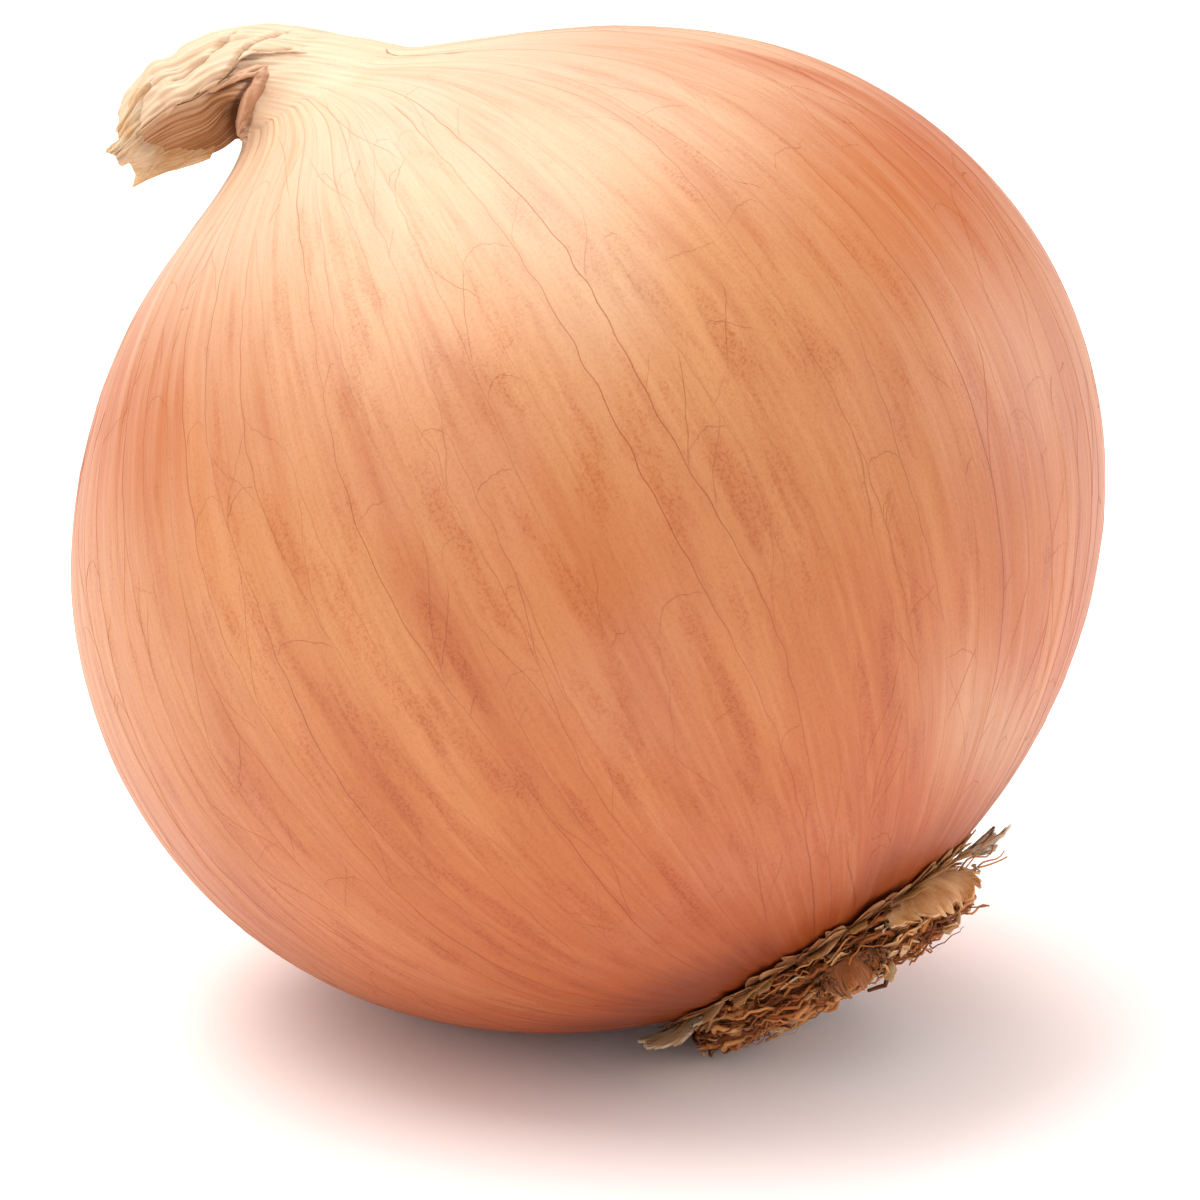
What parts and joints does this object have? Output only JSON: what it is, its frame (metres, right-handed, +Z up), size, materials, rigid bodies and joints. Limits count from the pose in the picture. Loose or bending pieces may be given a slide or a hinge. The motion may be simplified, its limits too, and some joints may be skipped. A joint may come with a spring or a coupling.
{
  "type": "onion",
  "caption": "Whole dry onion lying on its side on a small flat spot, with a folded papery neck, a matted tuft of dried roots and scraps of husk round it.",
  "frame": {"origin": "middle of the small flat spot that the onion rests on, on the ground", "axes": "+Z up; the onion's axis runs from the roots, low at +X and -Y, up to the folded neck at -X and +Y; the pictured side faces -Y"},
  "size_m": [0.0777, 0.0796, 0.0755],
  "materials": {
    "skin": "satin papery skin with fine lengthwise veins",
    "roots": "dull dry fibre",
    "husk": "dull torn papery husk"
  },
  "bodies": {
    "root": {"bulb": "skin", "root_mat": "roots", "husk_flake_1": "husk", "husk_flake_2": "husk", "husk_flake_3": "husk", "husk_flake_4": "husk", "husk_flake_5": "husk"}
  },
  "joints": []
}
